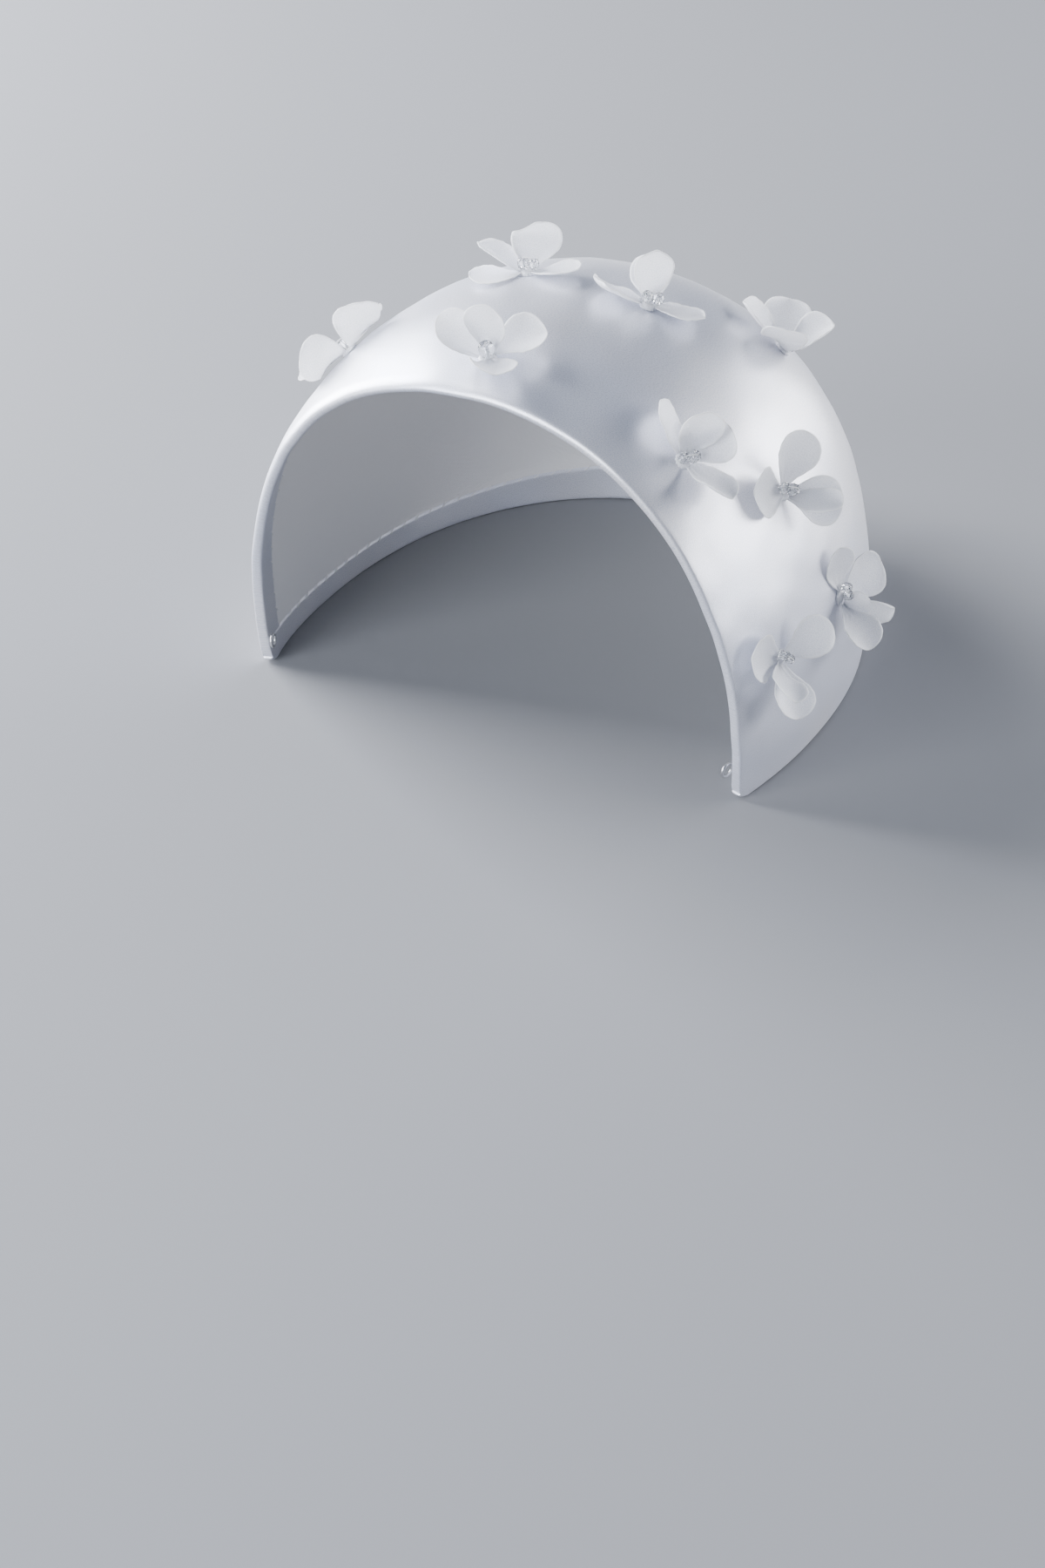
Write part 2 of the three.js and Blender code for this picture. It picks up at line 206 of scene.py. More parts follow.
def softNoise(points, size, seed):
    # smooth noise from -1 to 1, whose humps are about size millimetres across
    shift = Vector((seed * 7.31, seed * 3.77, seed * 5.13))
    return np.array([noise.noise(Vector(p) / size + shift) for p in np.reshape(points, (-1, 3))])


def addNode(tree, kind, inputs=None, **settings):
    # inputs maps a socket's name or number to another socket or to a value
    made = tree.nodes.new(kind)
    for name, value in settings.items():
        setattr(made, name, value)
    for name, value in (inputs or {}).items():
        if isinstance(value, bpy.types.NodeSocket):
            tree.links.new(value, made.inputs[name])
        else:
            made.inputs[name].default_value = value
    return made


def nodeOut(tree, kind, inputs=None, **settings):
    return addNode(tree, kind, inputs, **settings).outputs[0]


def addMath(tree, operation, first, second=0.0):
    return nodeOut(tree, "ShaderNodeMath", {0: first, 1: second}, operation=operation)


def combined(tree, x=0.0, y=0.0, z=0.0):
    return nodeOut(tree, "ShaderNodeCombineXYZ", {0: x, 1: y, 2: z})


def newGroup(treeKind, name, inputs, outputs):
    # each socket has its first value, or the kind of socket where it starts without one
    kinds = {bool: "Bool", int: "Int", float: "Float", tuple: "Color"}
    group = bpy.data.node_groups.new(name, treeKind)
    for side, sockets in (("INPUT", inputs), ("OUTPUT", outputs)):
        for socketName, value in sockets.items():
            kind = value if isinstance(value, str) else kinds[type(value)]
            socket = group.interface.new_socket(socketName, in_out=side, socket_type="NodeSocket" + kind)
            if kind != value:
                socket.default_value = value
    return group, group.nodes.new("NodeGroupInput").outputs, group.nodes.new("NodeGroupOutput").inputs


# Materials: the grain and the tint that satin and petals share, then the finishes.

def threadGrain():
    # fine threads that lie side by side along one way of the cloth, with slubs and a soft sparkle
    inputs = {"Vector": "Vector", "Threads": 4000.0, "Run": 0.12, "Speckle": 2500.0}
    outputs = {"Height": "Float", "Speckle": "Float"}
    group, given, result = newGroup("ShaderNodeTree", "threadGrain", inputs, outputs)
    parts = addNode(group, "ShaderNodeSeparateXYZ", {0: given["Vector"]}).outputs
    across = addMath(group, "MULTIPLY", parts[1], given["Threads"])
    alongRun = addMath(group, "MULTIPLY", given["Threads"], given["Run"])
    place = combined(group, addMath(group, "MULTIPLY", parts[0], alongRun), across)
    threads = nodeOut(group, "ShaderNodeTexNoise", {"Vector": place, "Scale": 1.0, "Detail": 2.0},
                      noise_dimensions="2D")
    sparkle = nodeOut(group, "ShaderNodeTexNoise",
                      {"Vector": given["Vector"], "Scale": given["Speckle"], "Detail": 1.0})
    group.links.new(threads, result["Height"])
    group.links.new(sparkle, result["Speckle"])
    return group


def softTint():
    # a slow drift between a warm and a cool white
    inputs = {"Vector": "Vector", "Scale": 20.0,
              "Warm": (0.9, 0.88, 0.87, 1), "Cool": (0.87, 0.88, 0.9, 1)}
    group, given, result = newGroup("ShaderNodeTree", "softTint", inputs, {"Color": "Color"})
    drift = nodeOut(group, "ShaderNodeTexNoise",
                    {"Vector": given["Vector"], "Scale": given["Scale"], "Detail": 2.0})
    share = mapped(group, drift, (0.35, 0.65))
    group.links.new(mixedColour(group, share, given["Warm"], given["Cool"]), result["Color"])
    return group


def mapped(tree, value, start, end=(0.0, 1.0)):
    return nodeOut(tree, "ShaderNodeMapRange", dict(enumerate((value, *start, *end))))


def mixedColour(tree, share, first, second):
    return addNode(tree, "ShaderNodeMix", {0: share, 6: first, 7: second}, data_type="RGBA").outputs[2]


def addBump(tree, shader, height, strength, depth):
    bump = nodeOut(tree, "ShaderNodeBump", {"Strength": strength, "Distance": depth, "Height": height})
    tree.links.new(bump, shader.inputs["Normal"])


def newMaterial(name, settings):
    material = bpy.data.materials.new(name)
    material.use_nodes = True
    tree = material.node_tree
    shader = tree.nodes["Principled BSDF"]
    for socket, value in settings.items():
        shader.inputs[socket].default_value = value
    return material, tree, shader


satinLook = {
    "warm": (0.89, 0.875, 0.89, 1),
    "cool": (0.81, 0.835, 0.93, 1),
    "shade": (0.68, 0.695, 0.77, 1),  # between the specks
    "drift": 20.0,  # how fast warm turns to cool
    "threads": 7500.0,
    "run": 0.35,  # how short the slubs are
    "speckle": 3600.0,
    "roughness": (0.33, 0.46),
    "bump": 0.22,
    "shader": {"Metallic": 0.66, "Sheen Weight": 0.15, "Sheen Roughness": 0.35},
}
petalLook = {
    "warm": (0.95, 0.95, 0.98, 1),
    "cool": (0.90, 0.915, 0.98, 1),
    "shade": (0.775, 0.785, 0.85, 1),
    "rim": (1.0, 1.0, 1.0, 1),  # along the cut edge; this white is partly the denser edge's own colour and partly a painted highlight
    "drift": 60.0,
    "threads": 5200.0,
    "run": 0.4,
    "speckle": 3000.0,
    "roughness": (0.36, 0.6),
    "bump": 0.5,
    "shader": {
        "Subsurface Weight": 0.7, "Subsurface Scale": 0.0014, "Subsurface Radius": (1, 1, 1),
        "Sheen Weight": 0.4, "Sheen Roughness": 0.4,
    },
}
grainForm = {"specks": (0.36, 0.56), "gloss": (0.3, 0.7), "depth": 0.12 * mm}
grainGroup = threadGrain()
tintGroup = softTint()


def clothMaterial(name, look):
    material, tree, shader = newMaterial(name, look["shader"])
    uv = nodeOut(tree, "ShaderNodeUVMap", uv_map="cloth")
    place = addNode(tree, "ShaderNodeTexCoord").outputs["Object"]
    grain = addNode(tree, "ShaderNodeGroup", {
        "Vector": uv, "Threads": look["threads"], "Run": look["run"], "Speckle": look["speckle"],
    }, node_tree=grainGroup).outputs
    tint = nodeOut(tree, "ShaderNodeGroup", {
        "Vector": place, "Scale": look["drift"], "Warm": look["warm"], "Cool": look["cool"],
    }, node_tree=tintGroup)
    colour = mixedColour(tree, mapped(tree, grain["Speckle"], grainForm["specks"]), look["shade"], tint)
    # the rim attribute whitens the petals' cut edges: partly the cloth's own edge colour, partly a
    # painted highlight
    if "rim" in look:
        rimShare = addNode(tree, "ShaderNodeAttribute", attribute_name="rim").outputs["Fac"]
        colour = mixedColour(tree, rimShare, colour, look["rim"])
    rough = mapped(tree, grain["Speckle"], grainForm["gloss"], look["roughness"])
    tree.links.new(colour, shader.inputs["Base Color"])
    tree.links.new(rough, shader.inputs["Roughness"])
    both = addMath(tree, "ADD", grain["Height"], grain["Speckle"])
    addBump(tree, shader, both, look["bump"], grainForm["depth"])
    return material


insideLook = {
    "color": (0.86, 0.85, 0.845, 1),
    "shade": (0.74, 0.73, 0.73, 1),
    "shadeShares": (0.93, 1.0),
    "pitch": 0.55 * mm,
    "bump": 0.5,
    "depth": 0.1 * mm,
}


def insideMaterial():
    # a plain weave, from two sine waves that cross
    look = insideLook
    material, tree, shader = newMaterial("insideCloth", {"Roughness": 0.8, "Base Color": look["color"]})
    uv = nodeOut(tree, "ShaderNodeUVMap", uv_map="cloth")
    parts = addNode(tree, "ShaderNodeSeparateXYZ", {0: uv}).outputs
    turns = 2 * pi / look["pitch"]
    waves = [addMath(tree, "SINE", addMath(tree, "MULTIPLY", parts[axis], turns)) for axis in range(2)]
    weave = addMath(tree, "MULTIPLY", waves[0], waves[1])
    addBump(tree, shader, weave, look["bump"], look["depth"])
    shade = mapped(tree, weave, (-1.0, 1.0), look["shadeShares"])
    colour = mixedColour(tree, shade, look["shade"], look["color"])
    tree.links.new(colour, shader.inputs["Base Color"])
    return material


glassLook = {
    "Base Color": (0.93, 0.94, 0.95, 1), "Roughness": 0.02, "IOR": 1.6, "Transmission Weight": 1.0,
}
threadLook = {"Base Color": (0.9, 0.89, 0.88, 1), "Roughness": 0.55, "Sheen Weight": 0.2}
threadTwist = {"scale": 6000.0, "bump": 0.4, "depth": 0.05 * mm}
wireLook = {"Base Color": (0.6, 0.6, 0.61, 1), "Metallic": 1.0}
wireMarks = {"scale": 3500.0, "roughness": (0.22, 0.42)}


def surfaceNoise(tree, scale):
    place = addNode(tree, "ShaderNodeTexCoord").outputs["Object"]
    return nodeOut(tree, "ShaderNodeTexNoise", {"Vector": place, "Scale": scale})


def threadMaterial():
    material, tree, shader = newMaterial("thread", threadLook)
    twist = surfaceNoise(tree, threadTwist["scale"])
    addBump(tree, shader, twist, threadTwist["bump"], threadTwist["depth"])
    return material


def wireMaterial():
    material, tree, shader = newMaterial("wire", wireLook)
    rough = mapped(tree, surfaceNoise(tree, wireMarks["scale"]), (0.0, 1.0), wireMarks["roughness"])
    tree.links.new(rough, shader.inputs["Roughness"])
    return material


satin = clothMaterial("satin", satinLook)
insideCloth = insideMaterial()
petalCloth = clothMaterial("petalCloth", petalLook)
clearGlass = newMaterial("clearGlass", glassLook)[0]
thread = threadMaterial()
wire = wireMaterial()
print("materials made")


# The satin shell: sections of its wall, one after the other along the rim from tip to tip.
shell = {
    "thickness": 3.0,
    "rollThickness": 3.2,  # of the rolled front edge
    "rollFade": 13.0,  # where the roll has run out
    "shortestForRoll": 14.4,
    "stations": 120,  # sections on each side of the top
    "crowding": 1.35,  # how much closer they stand near the tips
    "tipShare": 0.006,
    "crispness": 4.0,  # squareness of the edge near the tips, 2 being round
    "crispHeights": (15, 45),
    "softNose": 1.6,  # how much the edge spreads at the top and the wearer's right
    "softSides": (-40, 20),
    "softHeights": (30, 70),
    "edgeRound": 0.9,
    "hemWidth": 12.0,
    "shortestHem": 34.0,
    "hemStep": 0.25,
    "hemSlope": 0.3,
    "hump": 0.55,  # soft unevenness of the covered wall
    "humpSize": 26,
    "dimple": 0.35,
    "dimpleSize": 9,
    "humpHeights": (1, 12),
    "humpTipFade": 6,
    "edgeWave": 0.35,
    "waveSize": 17,
    "waveShares": (1.6, 0.7),  # towards the wearer's right, and elsewhere
    "waveSplit": -20,
    "waveReach": 25,
    "shortestForWave": 60,
    "levelNearTable": 6,
    "capRings": 4,
    "capReach": 0.9,
    "capBase": 3,
}
# How many points each stretch of a section has.
sectionRows = {
    "nose": 9, "fade": 10, "field": 41, "corner": 5, "land": 3,
    "lowHem": 8, "inside": 32, "frontHem": 11,
}


def arcOverBlock(start, end, shares):
    # points over the block from one rim point to another
    first, last = unit(start - middle), unit(end - middle)
    turn = np.arccos(first @ last)
    mixed = np.sin((1 - shares) * turn)[:, None] * first + np.sin(shares * turn)[:, None] * last
    return onBlock(mixed / sin(turn))


def sectionPlan(length, crisp, spread):
    # the section of the wall: distances from the front edge, offsets outwards, and its first inside row
    rows, thickness, half = sectionRows, shell["thickness"], shell["thickness"] / 2
    full = min(1.0, length / shell["shortestForRoll"])
    radius = (thickness + (shell["rollThickness"] - thickness) * full) / 2
    rollEnd = shell["rollFade"] * full
    rounding = shell["edgeRound"] * full
    hem, slope = shell["hemWidth"] * full, shell["hemSlope"] * full

    def swell(along):
        return (radius - half) * (1 - smoothStep(along, radius * full, rollEnd))

    noseTurn = np.radians(np.linspace(0, 90, rows["nose"]))
    noseAlong = radius * full * (1 - np.cos(noseTurn) ** (2 / crisp))
    noseOut = radius * np.sin(noseTurn) ** (2 / crisp)
    outerAlong = np.concatenate([
        np.linspace(radius * full * spread, rollEnd, rows["fade"] + 1)[1:],
        np.linspace(rollEnd, length - rounding, rows["field"] + 1)[1:],
    ])
    corner = np.radians(np.linspace(0, 90, rows["corner"] + 1))[1:]
    land = np.linspace(rounding, thickness - rounding, rows["land"] + 1)[1:]
    innerAlong = np.concatenate([
        np.linspace(length - rounding, length - hem, rows["lowHem"] + 1)[1:],
        np.linspace(length - hem - slope, hem + slope, rows["inside"]),
        np.linspace(hem, radius * full, rows["frontHem"] + 1)[:-1],
    ])
    innerStep = np.zeros(len(innerAlong))
    innerStep[rows["lowHem"]:rows["lowHem"] + rows["inside"]] = shell["hemStep"] * full
    along = np.concatenate([
        noseAlong * spread, outerAlong, length - rounding + rounding * np.sin(corner),
        np.full(rows["land"], length), length - rounding + rounding * np.cos(corner), innerAlong,
        noseAlong[:0:-1],
    ])
    out = np.concatenate([
        noseOut - half, swell(outerAlong), -rounding * (1 - np.cos(corner)), -land,
        -thickness + rounding * (1 - np.sin(corner)), -thickness - swell(innerAlong) + innerStep,
        -half - noseOut[:0:-1],
    ])
    before = ("nose", "fade", "field", "corner", "land", "corner", "lowHem")
    return along, out, sum(rows[stretch] for stretch in before)


def shellRing(start, end, crisp):
    length = np.arccos(unit(start - middle) @ unit(end - middle)) * np.linalg.norm(start - middle)
    softer = smoothStep(-start[0], *shell["softSides"]) * smoothStep(start[2], *shell["softHeights"])
    along, out, insideRow = sectionPlan(length, crisp, 1 + shell["softNose"] * softer)
    share = shell["waveShares"][0 if start[0] < shell["waveSplit"] else 1]
    wave = shell["edgeWave"] * softNoise(start[None], shell["waveSize"], 3)[0] * share
    full = min(1.0, length / shell["shortestForWave"])
    swayed = along + wave * full * (1 - smoothStep(along, 0, min(shell["waveReach"], length)))
    points = arcOverBlock(start, end, swayed / length)
    outward = outwardAt(points)
    level = unit(outward * [1, 1, 0])
    nearTable = smoothStep(along, length - shell["levelNearTable"], length)[:, None]
    return points, unit(outward * (1 - nearTable) + level * nearTable), out, along, insideRow


def shellRings():
    # the sections from the wearer's left tip to the right, their UVs, and the lines of the two hems
    stations, tip = shell["stations"], shell["tipShare"]
    rings, uvs, hems = [], [], {"front": [], "low": []}
    for i in range(-stations, stations + 1):
        climb = 1 - abs(i) / stations
        side = 1 if i < 0 else -1
        share = tip + (1 - tip) * climb ** shell["crowding"]
        start, end = rimAt(frontRim, share), rimAt(lowRim, share)
        end[2] = max(end[2], 0)
        crisp = 2 + (shell["crispness"] - 2) * (1 - smoothStep(start[2], *shell["crispHeights"]))
        flip = np.array([side, 1, 1])
        points, outward, out, along, insideRow = shellRing(start * flip, end * flip, crisp)
        dimples = shell["dimple"] * softNoise(points, shell["dimpleSize"], 2)
        soft = softNoise(points, shell["humpSize"], 1) + dimples
        keep = smoothStep(points[:, 2], *shell["humpHeights"]) * min(1, climb * shell["humpTipFade"])
        ring = points + outward * (out + shell["hump"] * soft * keep)[:, None]
        rings.append(ring)
        if along.max() > shell["shortestHem"]:
            for hem, row in (("low", insideRow - 1), ("front", insideRow + sectionRows["inside"])):
                hems[hem].append((ring[row], -outward[row]))
        station = (share - 1) * frontRim[1][-1] * side
        uvs.append(np.column_stack([np.full(len(along), station), along]) * mm)
    return rings, uvs, insideRow, hems


def capRows(ring, inner):
    # closes an end of the wall with a small round cap
    centre = ring.mean(0)
    reach = unit(centre - inner.mean(0)) * shell["capReach"]
    turns = np.linspace(0, pi / 2, shell["capRings"] + 1)[1:-1]
    return [centre + (ring - centre) * cos(turn) + reach * sin(turn) for turn in turns], centre + reach


def buildShell():
    rings, uvs, insideRow, hems = shellRings()
    leftRows, leftEnd = capRows(rings[0], rings[shell["capBase"]])
    rightRows, rightEnd = capRows(rings[-1], rings[-1 - shell["capBase"]])
    allRings = leftRows[::-1] + rings + rightRows
    allUvs = [uvs[0]] * len(leftRows) + uvs + [uvs[-1]] * len(rightRows)
    size, count = len(rings[0]), len(allRings)
    faces = [(a, d, c, b) for a, b, c, d in ringFaces(count, size)]
    inside = range(insideRow, insideRow + sectionRows["inside"] - 1)
    kinds = [int(j in inside) for j in range(size)] * (count - 1) + [0, 0] * size
    last, ends = (count - 1) * size, count * size
    for j in range(size):
        k = (j + 1) % size
        faces += [(ends, k, j), (ends + 1, last + j, last + k)]
    points = np.vstack(allRings + [leftEnd[None], rightEnd[None]])
    piece = newPiece("satinShell", points, faces, [satin, insideCloth], kinds)
    addClothMap(piece, np.vstack(allUvs + [uvs[0][:1], uvs[-1][:1]]))
    return piece, hems


shellPiece, hems = buildShell()
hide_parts("hat_shell")
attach(shellPiece, "root")
print("satin shell made")


# The petals' common cut.
petalForm = {
    "width": 12.4,
    "thickness": 0.2,
    "rimThickness": 0.34,
    "rimSide": 10,  # how narrow the thicker rim is at the sides
    "rimTip": 36,
    "rimShares": (0.12, 0.3),  # where it begins, from foot to tip
    "footShare": 0.24,
    "swell": 1.2,
    "widestAt": 0.62,
    "roundness": 2.5,
    "end": 0.9995,
    "settledAt": 0.5,  # where the petal's turn is complete
    "curlFrom": 0.6,
    "rows": 28,
    "columns": 17,
    "crowding": 0.6,  # of the columns towards the sides
    "ruffle": 0.3,
    "ruffleWaves": 2.2,
    "edgeWave": 0.07,
    "edgeWaves": 2.6,
    "calmBelow": 4.0,  # half width under which both waves fade
    "pleat": 0.1,
    "pleatWaves": 3.5,
    "pleatShares": (0.05, 0.6),
    "grainShift": 0.01,
}
heart = {
    "radius": 2.3,
    "gap": 0.1,
    "height": 1.1,
    "footOffset": 2,
    "footHeight": 0.9,
    "pleats": 14,
    "pleat": 0.06,
    "rings": 7,
    "spokes": 48,
    "turnUnder": 1.35,
    "tuck": 0.8,
}


def petal(clock, lift, roll, bend, reach, cups, width=1, tip=0, fold=0):
    # Clock is the way it points, from the line that climbs to the crown, anticlockwise from outside.
    # Lift is its slope off the cloth, roll its turn about its own length, bend the turn of its curve.
    # Cups are how far its two sides turn up, tip how far its end curls on, fold a crease along it.
    return {"clock": clock, "lift": lift, "roll": roll, "bend": bend, "reach": reach, "cups": cups,
            "width": width, "tip": tip, "fold": fold}


petalSets = {
    "leaning": [
        petal(-106, 30, 55, 15, 14.1, (18, 23)),
        petal(-1, 31, -42, 10, 13.4, (23, 21), width=1.12),
        petal(66, 6, -6, 15, 14, (25, 25)),
        petal(-165, 14, -18, 16, 14, (22, 28)),
    ],
    "folded": [
        petal(-139, 30, 9, 24, 14.1, (19, 16), fold=0.25),
        petal(139, 49, 15, 22, 14, (14, 19), width=1.1, tip=95),
        petal(-96, 4, -8, 26, 13.6, (16, 15)),
        petal(42, 5, 0, 18, 13.4, (22, 30)),
    ],
    "open": [
        petal(-52, 10, 10, 8, 14.2, (44, 32), width=1.12, fold=0.2),
        petal(8, 78, -8, 20, 12.8, (24, 24), width=0.96),
        petal(92, 45, 1, 12, 14.2, (30, 31), width=1.06),
        petal(-142, 24, -21, 6, 14, (40, 42), width=1.05),
    ],
    "upright": [
        petal(-72, 66, 8, 20, 13.6, (34, 30), width=0.93, tip=50),
        petal(-84, 32, -30, 22, 14, (25, 30), width=0.95),
        petal(2, 7, 22, 18, 14.3, (30, 24), tip=45),
        petal(178, 5, -9, 26, 13, (20, 19)),
    ],
    "cup": [
        petal(-77, 33, -44, 8, 14.1, (20, 24), width=1.07),
        petal(55, 28, 39, 16, 14, (14, 14)),
        petal(-9, 4, -6, 18, 15, (27, 26), fold=0.2),
        petal(-163, 72, -7, 12, 13.8, (37, 34), width=1.05, fold=0.2),
    ],
    "winged": [
        petal(-3, 11, 30, 18, 13.8, (20, 18), width=0.9),
        petal(-35, 65, 8, 14, 13.6, (32, 32), width=1.04),
        petal(-84, 40, 4, 12, 12.2, (35, 30), width=1.1),
        petal(-170, 22, -23, 12, 13.8, (37, 37)),
    ],
    "cross": [
        petal(-33, 35, -13, 10, 14.6, (27, 27), width=1.13),
        petal(65, 6, -12, 15, 14, (33, 29), width=1.08),
        petal(-138, 34, 14, 24, 14.4, (26, 28), width=1.08),
        petal(-161, 59, -11, 21, 14.1, (24, 24), width=0.91),
    ],
    "ruffled": [
        petal(5, 7, -24, 31, 13.6, (29, 25), width=0.85),
        petal(-77, 27, -17, 13, 14, (28, 27), width=1.03),
        petal(-136, 66, 76, 22, 13.5, (38, 45), width=1.05),
        petal(150, 39, 28, 5, 14.5, (40, 34), width=1.08),
    ],
    "drooping": [
        petal(63, 6, 4, 18, 14, (32, 30), width=1.03),
        petal(-72, 33, -12, 30, 13.8, (24, 22)),
        petal(119, 48, 33, 25, 14.2, (38, 42), width=0.87),
        petal(157, 31, 15, 12, 14.6, (31, 32), width=1.07),
    ],
}


def flower(around, up, petals, turn, beads, beadTurn, beadLean=(0, 0)):
    # Around is the turn from the face towards the wearer's left, up the height over the block's middle.
    # Beads are their widths, beadTurn the clock of the pair, beadLean its shift to the crown and round.
    return {"around": around, "up": up, "petals": petals, "turn": turn, "beads": beads,
            "beadTurn": beadTurn, "beadLean": beadLean}


flowers = [
    flower(-73.1, 54.7, "leaning", 0, [3, 2.8], 75),
    flower(-134.1, 79.6, "folded", 0, [3.2, 2.8], 45, (-0.2, 0.6)),
    flower(2, 71.1, "open", 0, [4.2], 0, (-0.4, -0.5)),
    flower(117.2, 74.2, "upright", 0, [3, 3], 15, (-0.6, -0.3)),
    flower(134.1, 47.6, "cup", 0, [2.8, 2.6], 120),
    flower(63.5, 51.1, "winged", 0, [3.2, 2.8], 75, (-0.2, 0)),
    flower(88.5, 39.1, "cross", 0, [3.4, 3], 55, (0.7, 0.8)),
    flower(98.1, 14.3, "ruffled", 0, [2.8, 2.6], 195, (1.6, -0.3)),
    flower(73.9, 14.2, "drooping", 0, [2.8, 2.6], 225, (0.7, 0.2)),
    flower(-98, 13, "winged", 150, [3, 2.8], 45),
    flower(-119, 31, "open", 75, [3.2, 2.8], 120),
    flower(-138, 9, "cross", -95, [2.8, 3], 0),
    flower(-152, 35, "folded", 60, [3, 3], 105),
    flower(-173, 15, "cup", 130, [2.8, 2.6], 250),
    flower(165, 11, "drooping", 200, [3, 2.8], 30),
]


def flowerPlace(spot):
    # where a flower is sewn: its foot, its outward line, the way to the crown and the way round
    around, up = radians(spot["around"]), radians(spot["up"])
    foot = onBlock(np.array([sin(around) * cos(up), -cos(around) * cos(up), sin(up)]))
    out = outwardAt(foot)
    climb = unit(np.array([0, 0, 1]) - out * out[2])
    return {"foot": foot, "out": out, "climb": climb, "round": np.cross(out, climb)}


def wayOf(place, angle):
    return place["climb"] * cos(angle) + place["round"] * sin(angle)


def petalWidth(share):
    form = petalForm
    rise = np.sin(np.minimum(share / form["widestAt"], 1) * pi / 2) ** form["swell"]
    beyond = np.clip((share - form["widestAt"]) / (1 - form["widestAt"]), 0, 1)
    widening = form["footShare"] + (1 - form["footShare"]) * rise
    return widening * np.sqrt(1 - beyond ** form["roundness"])


def petalGrid(place, pose, turn):
    # the middle surface of one petal: rows from foot to tip, columns from side to side
    form = petalForm
    lift, arc, tip = radians(pose["lift"]), radians(pose["bend"]), radians(pose["tip"])
    way = wayOf(place, radians(pose["clock"] + turn))
    chord = way * cos(lift) + place["out"] * sin(lift)
    level = np.cross(place["out"], way)
    inner = np.cross(chord, level)
    foot = place["foot"] + place["out"] * heart["footHeight"] + way * heart["footOffset"]
    # the spine, an arc that may curl on at its tip
    share = form["end"] * np.sin(np.linspace(0, pi / 2, form["rows"]))
    curl = np.clip((share - form["curlFrom"]) / (1 - form["curlFrom"]), 0, 1) ** 2
    angle = (arc * (share - 0.5) + tip * curl)[:, None]
    along = chord * np.cos(angle) + inner * np.sin(angle)
    steps = np.diff(share)[:, None] * pose["reach"] / (2 * sin(arc / 2)) * arc
    spine = foot + np.vstack([np.zeros(3), np.cumsum((along[1:] + along[:-1]) / 2 * steps, axis=0)])
    twist = radians(pose["roll"]) * np.minimum(1, share / form["settledAt"])[:, None]
    side = turned(np.broadcast_to(level, along.shape), along, twist)
    up = np.cross(along, side)
    # the width, cupped on both sides, with ruffles, small waves and pleats
    half = petalWidth(share) * form["width"] / 2 * pose["width"]
    even = np.linspace(-1, 1, form["columns"])
    across = form["crowding"] * np.sin(even * pi / 2) + (1 - form["crowding"]) * even
    cups = np.radians(np.where(across < 0, *pose["cups"]))
    reach = np.sin(cups * np.abs(across)) / cups * np.sign(across)
    rise = half[:, None] * ((1 - np.cos(cups * np.abs(across))) / cups + pose["fold"] * np.abs(across))
    seed = pose["clock"] + place["foot"][0]
    narrowing = np.minimum(1, half / form["calmBelow"])
    ruffle = form["ruffle"] * narrowing * np.sin(form["ruffleWaves"] * pi * share + seed)
    waves = form["edgeWave"] * narrowing * np.sin(pose["reach"] * form["edgeWaves"] * share + seed)
    gathered = 1 - smoothStep(share, *form["pleatShares"])[:, None]
    rise = rise + ruffle[:, None] * np.abs(across) ** 3 + waves[:, None] * across ** 8
    rise = rise + form["pleat"] * gathered * np.cos(form["pleatWaves"] * pi * across + seed)
    sideways = side[:, None] * (half[:, None] * reach)[..., None]
    return spine[:, None] + sideways + up[:, None] * rise[..., None], share, across


def petalBody(place, pose, turn):
    # a closed thin petal with a slightly thicker, rounded rim, and that rim's line for the fibres
    form = petalForm
    grid, share, across = petalGrid(place, pose, turn)
    rows, columns = grid.shape[:2]
    total = rows * columns
    normal = unit(np.cross(np.gradient(grid, axis=1), np.gradient(grid, axis=0)))
    rimShare = np.maximum(np.abs(across)[None] ** form["rimSide"], share[:, None] ** form["rimTip"])
    rimShare = rimShare * smoothStep(share, *form["rimShares"])[:, None]
    half = (form["thickness"] + (form["rimThickness"] - form["thickness"]) * rimShare) / 2
    index = np.arange(total).reshape(rows, columns).tolist()
    border = [index[r][0] for r in range(rows)] + index[-1][1:]
    border += [index[r][-1] for r in range(rows - 2, -1, -1)] + index[0][-2:0:-1]
    edge = grid.reshape(-1, 3)[border]
    outwards = unit(np.cross(normal.reshape(-1, 3)[border], np.roll(edge, -1, 0) - np.roll(edge, 1, 0)))
    outwards *= np.sign(((edge - grid.reshape(-1, 3).mean(0)) * outwards).sum(1))[:, None]
    rimLine = edge + outwards * half.ravel()[border][:, None]
    top, bottom = grid + normal * half[..., None], grid - normal * half[..., None]
    points = np.vstack([top.reshape(-1, 3), bottom.reshape(-1, 3), rimLine])
    faces = []
    for r in range(rows - 1):
        for c in range(columns - 1):
            a, b, d, e = index[r][c], index[r][c + 1], index[r + 1][c + 1], index[r + 1][c]
            faces += [(a, b, d, e), (total + e, total + d, total + b, total + a)]
    for i, first in enumerate(border):
        j = (i + 1) % len(border)
        second = border[j]
        faces.append((first, second, 2 * total + j, 2 * total + i))
        faces.append((2 * total + i, 2 * total + j, total + second, total + first))
    uv = np.tile(across, rows) * form["width"] / 2, np.repeat(share, columns) * pose["reach"]
    uv = np.column_stack(uv)
    uv = np.vstack([uv, uv, uv[border]]) * mm + pose["clock"] * form["grainShift"]
    rimFlat = rimShare.ravel()
    rimValues = np.concatenate([rimFlat, rimFlat, rimFlat[border]])
    return (points, faces, uv, rimValues), (rimLine, outwards, rimFlat[border])


